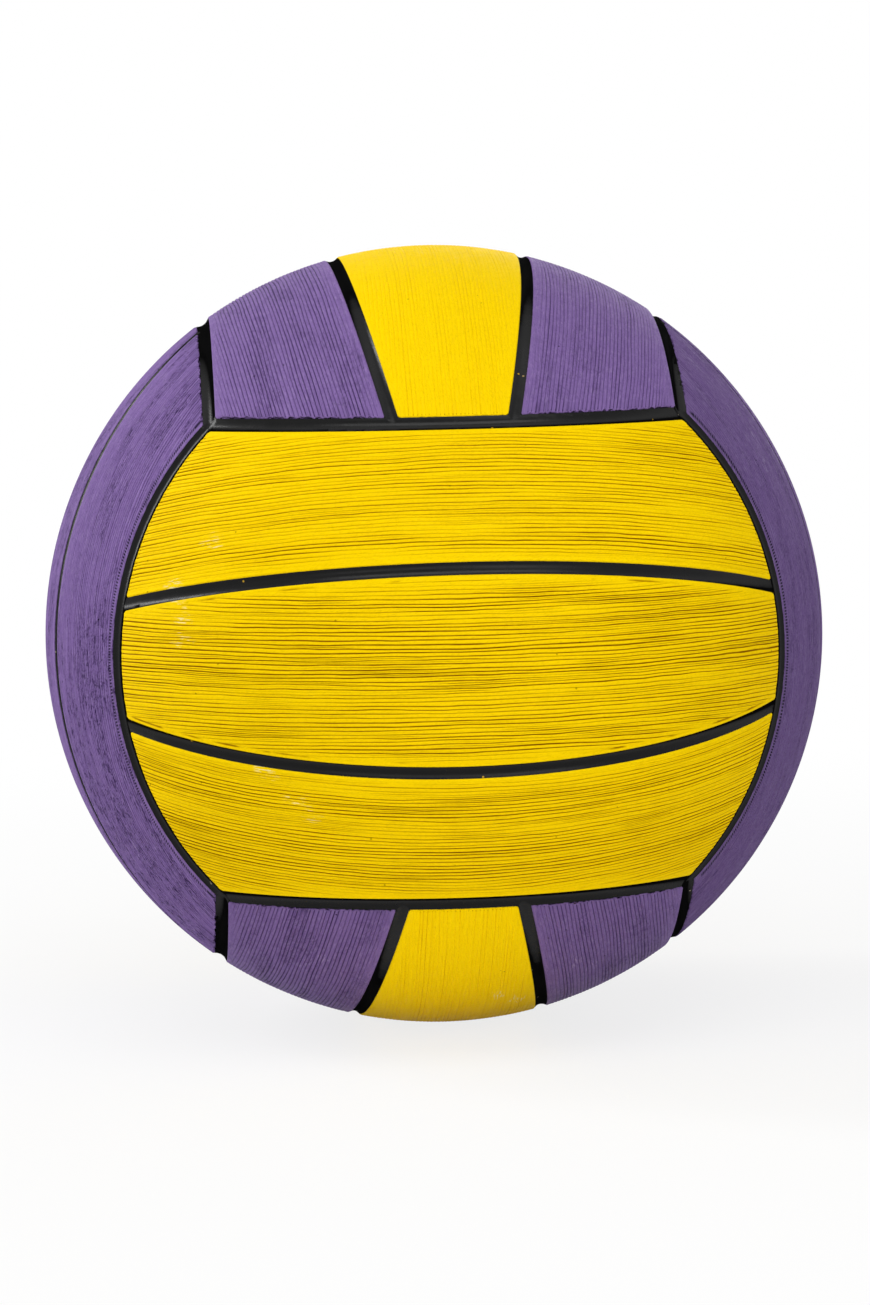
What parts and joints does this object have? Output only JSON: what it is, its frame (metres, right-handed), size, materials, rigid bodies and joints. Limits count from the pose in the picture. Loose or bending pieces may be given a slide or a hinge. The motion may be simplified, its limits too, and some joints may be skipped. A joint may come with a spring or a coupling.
{
  "type": "water polo ball",
  "caption": "Inflated rubber ball of strip panels set between the ribs of a black carcass, with a snap-in needle valve, for throwing and catching in water.",
  "frame": {"origin": "centre of the ball", "axes": "+Y leaves through the needle valve at the back, +Z through the top face, whose strips run front to back, and +X to the right seen from the front"},
  "size_m": [0.21, 0.2099, 0.21],
  "materials": {
    "panel_yellow": "matt moulded rubber with fine raised lines along each strip",
    "panel_purple": "matt moulded rubber with fine raised lines along each strip",
    "channel_black": "satin",
    "nylon_thread": "bonded thread",
    "bladder_rubber": "matt",
    "valve_rubber": "satin"
  },
  "bodies": {
    "root": {"panel_top_left": "panel_purple", "panel_top_middle": "panel_yellow", "panel_top_right": "panel_purple", "panel_bottom_left": "panel_purple", "panel_bottom_middle": "panel_yellow", "panel_bottom_right": "panel_purple", "panel_right_front": "panel_purple", "panel_right_middle": "panel_purple", "panel_right_rear": "panel_purple", "panel_left_front": "panel_purple", "panel_left_middle": "panel_purple", "panel_left_rear": "panel_purple", "panel_back_lower": "panel_yellow", "panel_back_middle": "panel_yellow", "panel_back_upper": "panel_yellow", "panel_front_lower": "panel_yellow", "panel_front_middle": "panel_yellow", "panel_front_upper": "panel_yellow", "carcass": "channel_black", "thread_winding": "nylon_thread", "bladder": "bladder_rubber", "valve_housing": "valve_rubber", "valve_plug": "valve_rubber"}
  },
  "joints": []
}
